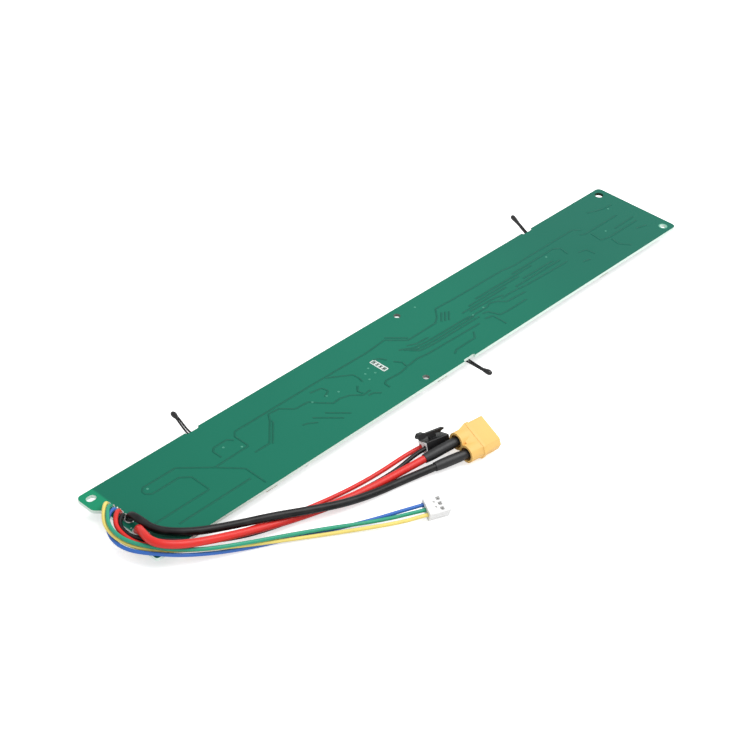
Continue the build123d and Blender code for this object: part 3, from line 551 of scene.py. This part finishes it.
# Wires: silicone or thin PVC over stranded copper. Each leaves its hole upwards, turns round the
# board's near end, drops over the front edge and runs along the table to its plug. A row is the
# wire's thickness and length in mm, its finish and its route; a colour row ends in how it shines.
WIRE_ROUTES = {
    "power_wire_black": (3.5, 161.8, "black_silicone", [
        (7.6, 25.2, 5.4), (7.6, 25.2, 9.4), (7.2, 20.4, 11.4), (8.6, 10.5, 9.5), (19.0, 0.1, 8.9),
        (34.6, -7.3, 7.8), (49.6, -14.7, 7.9), (62.5, -21.1, 6.9), (78.5, -26.9, 4.6),
        (94.2, -30.1, 2.7), (110.7, -32.4, 1.9), (139.9, -42.0, 5.0)]),
    "power_wire_red": (3.5, 166.7, "red_silicone", [
        (5.4, 17.4, 5.4), (5.3, 17.2, 9.2), (2.9, 12.4, 11.8), (0.7, 3.7, 13.0), (6.1, -2.9, 12.3),
        (18.4, -7.9, 9.7), (45.8, -14.9, 4.4), (67.4, -20.9, 3.1), (83.7, -24.5, 2.7),
        (97.2, -26.8, 2.6), (114.7, -29.2, 3.3), (140.7, -35.3, 7.6)]),
    "charge_wire_red": (2.0, 168.9, "red_silicone", [
        (7.4, 30.8, 5.4), (7.3, 30.8, 9.2), (2.4, 27.6, 10.7), (-1.3, 22.8, 8.9),
        (-1.0, 12.1, 7.8), (5.4, 1.0, 9.0), (17.1, -3.5, 6.3), (45.0, -10.3, 1.9),
        (72.9, -17.1, 1.0), (99.4, -21.3, 1.2), (126.7, -23.0, 3.4), (132.5, -24.4, 3.4)]),
    "charge_wire_black": (2.0, 163.6, "black_silicone", [
        (7.3, 28.2, 5.4), (7.2, 28.2, 9.1), (1.4, 24.8, 8.4), (0.5, 17.5, 7.4), (3.2, 8.9, 8.8),
        (10.4, -0.6, 10.4), (22.3, -7.4, 6.6), (44.1, -13.6, 1.6), (80.2, -21.7, 0.9),
        (109.5, -25.8, 1.2), (125.9, -26.1, 4.8), (131.7, -27.5, 4.8)]),
    "data_wire_green": (1.65, 157.6, "green_insulation", [
        (7.3, 35.7, 5.4), (7.2, 35.7, 8.6), (2.6, 32.8, 11.1), (-3.5, 25.0, 10.0),
        (-3.6, 14.6, 9.2), (1.5, 2.8, 10.1), (9.6, -5.0, 8.8), (23.1, -12.1, 6.0),
        (59.4, -28.1, 2.7), (82.7, -43.2, 2.8), (97.7, -51.2, 3.7), (102.3, -53.2, 3.6)]),
    "data_wire_blue": (1.65, 158.6, "blue_insulation", [
        (7.3, 33.2, 5.4), (7.2, 33.2, 9.0), (0.8, 30.7, 9.2), (-4.5, 24.1, 6.0), (-5.1, 13.0, 6.3),
        (0.5, 0.8, 8.6), (11.5, -6.8, 5.8), (31.9, -15.0, 1.1), (56.1, -26.1, 0.8),
        (76.4, -37.4, 1.4), (98.7, -49.0, 4.4), (103.3, -51.0, 4.4)]),
    "data_wire_yellow": (1.65, 160.1, "yellow_insulation", [
        (7.2, 38.2, 5.4), (7.1, 38.2, 8.6), (2.6, 35.0, 10.5), (-3.9, 27.5, 8.9),
        (-4.1, 16.0, 7.2), (0.8, 3.6, 8.3), (10.2, -4.0, 7.4), (29.6, -13.8, 3.5),
        (58.7, -29.8, 1.0), (87.1, -48.9, 2.3), (96.8, -53.4, 2.9), (101.4, -55.4, 2.9)]),
}
WIRE_COLOURS = {
    "black_silicone": ((0.0040, 0.0040, 0.0046), 0.27, 0.30),
    "red_silicone": ((0.77, 0.022, 0.016), 0.28, 0.40),
    "green_insulation": ((0.02, 0.36, 0.21), 0.32, 0.45),
    "blue_insulation": ((0.034, 0.160, 0.58), 0.32, 0.45),
    "yellow_insulation": ((0.92, 0.74, 0.19), 0.32, 0.45),
}


def new_line(name, route):
    line = bpy.data.curves.new(name, "CURVE")
    line.dimensions = "3D"
    line.resolution_u = 12
    spline = line.splines.new("NURBS")
    spline.points.add(len(route) - 1)
    for point, spot in zip(spline.points, route):
        point.co = (*board_point(*spot), 1)
    spline.order_u = 3
    spline.use_endpoint_u = True
    return line


wire_finishes = {}
for name, (colour, rough, gloss) in WIRE_COLOURS.items():
    finish, place = new_finish(name, Specular_IOR_Level=gloss)
    dust = place.noise(220.0, 4.0)
    rub = place.noise(2600.0, 2.0)
    dusty = dust.step(0.35, 0.75).mix(colour, tint(colour, 0.9, 0.012))
    wire_finishes[name] = feed(finish, Base_Color=dusty, Roughness=rough + 0.12 * dust, bump=(rub, 0.02))
for name, (thick, length, slot, route) in WIRE_ROUTES.items():
    line = new_line(name + "_run", route)
    line.bevel_depth = thick / 2000
    line.bevel_resolution = 5
    line.use_fill_caps = True
    line.materials.append(wire_finishes[slot])
    settle(name + "_run", line, slot, name)

# Solder: a ring wets each wire where it leaves the top of its hole, cones below the board hold the
# wires, and a few round drops were left beside the thin wires' holes and by the thick red wire.
# The parts' legs and end caps are tinned.
EXIT_RING = {"Radius": 1.0, "Thickness": 0.22, "Height": 0.154}
EXIT_REACH = 0.3
SPECKS = [(8.6, 36.0), (8.7, 33.9), (8.7, 32.2), (4.5, 20.6), (7.6, 13.3)]
SPECK_R = (0.36, 0.43, 0.50)
SPECK_FLATNESS = 0.55
ROUND_ANGLE = 80
TINNED = ["mosfet_lead_frames", "fuse_end_caps", "surge_diode_leads", "regulator_leads", "controller_leads",
          "monitor_leads", "transistor_leads", "chip_end_caps"]
solder = new_metal("solder", (0.66, 0.66, 0.64), 0.28, 500.0)
exits = [[route[0][:2]] for thick, length, slot, route in WIRE_ROUTES.values()]
exit_radii = [thick / 2 + EXIT_REACH for thick, length, slot, route in WIRE_ROUTES.values()]
grow("wire_exit_solder", chart("exit_spots", exits, BOARD_TOP, exit_radii), ringlet,
     EXIT_RING, solder, "solder")


def finish_form(name, form, finish, slot, sharp, *stands_for):
    mesh = bpy.data.meshes.new(name)
    form.to_mesh(mesh)
    form.free()
    mesh.polygons.foreach_set("use_smooth", [True] * len(mesh.polygons))
    mesh.set_sharp_from_angle(angle=radians(sharp))
    mesh.materials.append(finish)
    return settle(name, mesh, slot, *stands_for)


drops = bmesh.new()
for i, spot in enumerate(SPECKS):
    place = Matrix.Translation(board_point(*spot, BOARD_TOP)) @ Matrix.Diagonal((1, 1, SPECK_FLATNESS, 1))
    radius = SPECK_R[i % 3] / 1000
    bmesh.ops.create_uvsphere(drops, u_segments=16, v_segments=9, radius=radius, matrix=place)
finish_form("solder_specks", drops, solder, "solder", ROUND_ANGLE)


def paint(name, finish):
    for slot in nodes[name].material_slots:
        slot.material = finish


paint("wire_solder_joints", solder)
for name in TINNED:
    paint(name, tin)

# Thermistors: a glass bead dipped in black resin, which runs back along its two insulated leads.
# They are soldered under the board. A row is where they start, the way from there to the bead, how
# far they bow apart, how long the resin's tail is and how far the leads lean to one side.
LEAD_R = 0.46
LEAD_GAP = 2.3
LEAD_AIR = 0.05
LEAD_FOOT = 1.4
LEAD_SUNK = 1.6
NECK_AT = 2.6
BOW_AT = 0.25
BEAD_Z = 3.8
THERMISTORS = {
    "a": ((64.0, 45.5), (3.9, 19.7), 0.62, 1.0, 1.9),
    "b": ((292.4, 45.5), (8.6, 19.2), 0.46, 2.6, 0.9),
    "c": ((190.02, 4.5), (1.2, -14.1), 0.62, 1.2, 0.0),
}
NOSE = [(2.5, 0.02), (2.45, 0.3), (2.28, 0.66), (1.9, 0.98), (1.35, 1.22), (0.7, 1.3), (0.0, 1.24)]
TAIL = [(-0.9, 1.06), (-1.7, 0.9), (-2.5, 0.76), (-3.0, 0.6), (-3.2, 0.36)]
WOBBLE_REACH = 2.0
WOBBLE_SCALE = 420.0
resin, place = new_finish("bead_resin", Roughness=0.2, Specular_IOR_Level=0.5)
sag = place.noise(700.0, 2.0)
feed(resin, Base_Color=sag.mix((0.004, 0.004, 0.0045), (0.010, 0.010, 0.011)), Roughness=0.16 + 0.2 * sag,
     bump=(sag, 0.12))
sheath, place = new_finish("black_insulation", Specular_IOR_Level=0.35)
rub = place.noise(1500.0, 2.0)
feed(sheath, Base_Color=rub.mix((0.005, 0.005, 0.006), (0.012, 0.012, 0.013)), Roughness=0.38 + 0.15 * rub,
     bump=(rub, 0.03))


# A tube along a line: rings of points set square to it, each with its own radius, closed by a
# face at each end. wobble pushes the wall in and out a little, as dipped and shrunk skins are.
def skin(form, spine, radii, sides=20, wobble=0.0):
    rings = []
    up = Vector((0, 0, 1))
    for i, (spot, radius) in enumerate(zip(spine, radii)):
        way = (spine[min(i + 1, len(spine) - 1)] - spine[max(i - 1, 0)]).normalized()
        side = way.cross(up).normalized()
        rise = side.cross(way)
        ring = []
        for n in range(sides):
            turn = 2 * pi * n / sides
            out = side * cos(turn) + rise * sin(turn)
            swell = wobble * noise.noise((spot + out * WOBBLE_REACH / 1000) * WOBBLE_SCALE)
            ring.append(form.verts.new(spot + out * radius * (1 + swell)))
        rings.append(ring)
    for a, b in zip(rings, rings[1:]):
        for n in range(sides):
            form.faces.new((a[n], b[n], b[(n + 1) % sides], a[(n + 1) % sides]))
    form.faces.new(rings[0])
    form.faces.new(rings[-1][::-1])
    bmesh.ops.recalc_face_normals(form, faces=form.faces)


for key, (foot, reach, apart, tail, lean) in THERMISTORS.items():
    aim = Vector((*reach, 0)) / 1000
    way = aim.normalized()
    side = Vector((-way.y, way.x, 0))
    begin = board_point(*foot, BOARD_UNDER - LEAD_R - LEAD_AIR)
    middle = board_point(*foot, BEAD_Z) + aim
    drop = NOSE + [(along * tail, radius) for along, radius in TAIL]
    bead = bmesh.new()
    skin(bead, [middle + way * (along / 1000) for along, radius in drop],
         [radius / 1000 for along, radius in drop], wobble=0.1)
    finish_form(f"thermistor_{key}_drop", bead, resin, "bead_resin", ROUND_ANGLE,
                f"thermistor_{key}_bead")
    pair = bmesh.new()
    for hand in (-1, 1):
        heel = begin + side * (hand * LEAD_GAP / 2000)
        bow = begin.lerp(middle, BOW_AT) + side * ((hand * apart + lean) / 1000)
        neck = middle - way * (NECK_AT * tail / 1000) + side * (hand * (LEAD_R + LEAD_AIR) / 1000)
        corners = [heel, heel + way * (LEAD_FOOT / 1000), bow, neck, neck + way * (LEAD_SUNK / 1000)]
        spine = [a.lerp(b, n / 4) for a, b in zip(corners, corners[1:]) for n in range(4)]
        spine.append(corners[-1])
        for smoothing in range(3):
            eased = [(a + 2 * b + c) / 4 for a, b, c in zip(spine, spine[1:], spine[2:])]
            spine = [spine[0], *eased, spine[-1]]
        skin(pair, spine, [LEAD_R / 1000] * len(spine), sides=12)
    finish_form(f"thermistor_{key}_pair", pair, sheath, "black_insulation", ROUND_ANGLE,
                f"thermistor_{key}_leads")

# Power plug: a moulded nylon body and cap, glued together over gilt sockets. The mould's edges are
# rounded, so a copy of each CAD solid gets a soft edge all round.
POWER_BODY_EDGE = 0.3
POWER_CAP_EDGE = 0.2
WELD_GAP = 0.002
FLAT_ANGLE = 2
SHARP_ANGLE = 35
EDGE_ANGLE = 30


def soften(name, edge, finish, slot):
    form = bmesh.new()
    form.from_mesh(nodes[name].data)
    bmesh.ops.remove_doubles(form, verts=form.verts, dist=WELD_GAP / 1000)
    bmesh.ops.dissolve_limit(form, angle_limit=radians(FLAT_ANGLE), verts=form.verts, edges=form.edges)
    piece = finish_form(name + "_moulded", form, finish, slot, SHARP_ANGLE, name)
    rim = piece.modifiers.new("soft_edges", "BEVEL")
    rim.width = edge / 1000
    rim.segments = 2
    rim.limit_method = "ANGLE"
    rim.angle_limit = radians(EDGE_ANGLE)
    rim.harden_normals = False
    return piece


def new_plastic(name, colour, rough, scale, depth=0.02, gloss=0.4):
    finish, place = new_finish(name, Specular_IOR_Level=gloss)
    flow = place.noise(scale / 12, 3.0)
    grain = place.noise(scale, 3.0)
    return feed(finish, Base_Color=flow.step(0.3, 0.7).mix(colour, tint(colour, 0.94, 0.004)),
                Roughness=rough + 0.15 * grain, bump=(grain, depth))


yellow = new_plastic("yellow_nylon", (0.92, 0.57, 0.17), 0.36, 900.0, gloss=0.35)
power_plug = [soften("power_plug_body", POWER_BODY_EDGE, yellow, "yellow_nylon"),
              soften("power_plug_cap", POWER_CAP_EDGE, yellow, "yellow_nylon"),
              nodes["power_plug_contacts"]]
paint("power_plug_contacts", new_metal("gilt_brass", (0.80, 0.58, 0.24), 0.25, 1500.0))

# Heat-shrink sleeves: black tubes over the joints of the two thick wires. Hot air shrank them a
# little unevenly and rolled a small lip at each end.
SLEEVE_L = 18.2
SLEEVE_R = 2.3
SLEEVE_LIP = 0.25
SLEEVE_STEP = 0.6
LIP_ANGLE = 50
shrink = new_plastic("shrink_sleeve", (0.0110, 0.0115, 0.0130), 0.36, 700.0, depth=0.04, gloss=0.5)
sleeves = {}
for name, wire in (("power_sleeve_red", "power_wire_red"), ("power_sleeve_black", "power_wire_black")):
    thick, length, slot, route = WIRE_ROUTES[wire]
    guide = bpy.data.objects.new("guide", new_line("guide", route))
    scene.collection.objects.link(guide)
    trail = bpy.data.meshes.new_from_object(guide.evaluated_get(bpy.context.evaluated_depsgraph_get()))
    spots = [vertex.co.copy() for vertex in trail.vertices]
    bpy.data.objects.remove(guide)
    spine = [spots[-1]]
    gone = 0.0
    for a, b in zip(spots[::-1], spots[-2::-1]):
        gone += (a - b).length * 1000
        if gone > SLEEVE_L:
            break
        if (spine[-1] - b).length > SLEEVE_STEP / 1000:
            spine.append(b)
    outer = [SLEEVE_R / 1000] * len(spine)
    outer[0] = outer[-1] = (SLEEVE_R - SLEEVE_LIP) / 1000
    form = bmesh.new()
    skin(form, spine, outer, sides=24, wobble=0.035)
    sleeves[wire] = finish_form(name + "_shrunk", form, shrink, "shrink_sleeve", LIP_ANGLE, name)

# Charge plug: a black nylon housing with its rocker latch moulded on, and a white nylon retainer
# pressed in behind it, which keeps the tinned contacts in their chambers.
CHARGE_EDGE = 0.12
black = new_plastic("black_nylon", (0.007, 0.007, 0.008), 0.3, 900.0)
white = new_plastic("white_nylon", (0.93, 0.93, 0.925), 0.38, 900.0)
charge_plug = [soften("charge_plug_housing", CHARGE_EDGE, black, "black_nylon"),
               soften("charge_plug_retainer", CHARGE_EDGE, white, "white_nylon"),
               nodes["charge_plug_contacts"]]
paint("charge_plug_contacts", tin)

# Data plug: a white nylon shell in one piece, with three windows over its tinned contacts. A small
# tongue on each contact catches in its window and holds the wire.
DATA_EDGE = 0.15
data_plug = [soften("data_plug_housing", DATA_EDGE, white, "white_nylon"), nodes["data_plug_contacts"]]
paint("data_plug_contacts", tin)

# The wires are free cords that lie loose on the table. Each is soldered in its hole and ends in its
# plug, the thick ones in their sleeves too; this loop only gathers each wire's plug and sleeves.
WIRE_ENDS = {"power": power_plug, "charge": charge_plug, "data": data_plug}
for name, (thick, length, slot, route) in WIRE_ROUTES.items():
    carried = WIRE_ENDS[name.split("_")[0]] + ([sleeves[name]] if name in sleeves else [])
    thick / 1000

# Metal parts under the board: nickel tabs, copper bars, the drawn aluminium cans that the board
# rests on, and the crystal's can. A part of each can's crown is printed black for its minus side.
CAN_METAL = (0.72, 0.73, 0.74)
CAN_INK = (0.015, 0.015, 0.018)
CROWN_R = 2.7
INK_START = (0.9, 1.0)
CROWN_Z = (0.3, 0.1)
paint("cell_tap_tabs", new_metal("nickel", (0.60, 0.58, 0.53), 0.34, 900.0))
paint("copper_bus_bars", new_metal("copper", (0.75, 0.36, 0.20), 0.34, 900.0))
can, place = new_finish("can_aluminium")
printed = 0.0
for x, y in CANS:
    crown = inside(place, x, y, CROWN_R)
    printed = printed + crown * between(place, 0, x + INK_START[0], x + INK_START[1])
printed = printed * between(place, 2, *CROWN_Z)
brushed = place.noise(2400.0, 3.0, (1, 1, 0.3))
bare = brushed.mix(tint(CAN_METAL, 0.85), CAN_METAL)
feed(can, Base_Color=printed.mix(bare, CAN_INK), Metallic=1 - printed, Roughness=0.28 + 0.2 * brushed,
     bump=(brushed, 0.03))
paint("capacitor_cans", can)
paint("crystal_can", new_metal("crystal_metal", (0.68, 0.66, 0.60), 0.25, 2000.0))

# Moulded parts under the board: epoxy chip cases, coated resistors, ceramic, ferrite and plastic
# bases. A row is the finish's colour, its roughness, its grain and the parts that have it.
CASE_EDGE = 0.09
MOULDED = {
    "black_case": ((0.012, 0.012, 0.013), 0.48, 2500.0, [
        "mosfet_cases", "surge_diodes", "regulator_case", "controller_chip", "monitor_chip",
        "balance_transistors", "gate_transistors"]),
    "shunt_black": ((0.02, 0.02, 0.022), 0.40, 2500.0, ["shunt_resistors"]),
    "fuse_body": ((0.75, 0.73, 0.66), 0.45, 1500.0, ["main_fuse"]),
    "black_base": ((0.012, 0.012, 0.012), 0.5, 2000.0, ["capacitor_bases", "inductor_base"]),
    "ferrite": ((0.030, 0.029, 0.028), 0.6, 1800.0, ["inductor_core"]),
    "resistor_black": ((0.014, 0.014, 0.016), 0.3, 2500.0, ["balance_resistors", "chip_resistors"]),
    "ceramic_tan": ((0.36, 0.24, 0.13), 0.4, 2500.0, ["filter_capacitors"]),
}
for name, (colour, rough, scale, users) in MOULDED.items():
    finish = new_plastic(name, colour, rough, scale, depth=0.03, gloss=0.5)
    for user in users:
        soften(user, CASE_EDGE, finish, name)
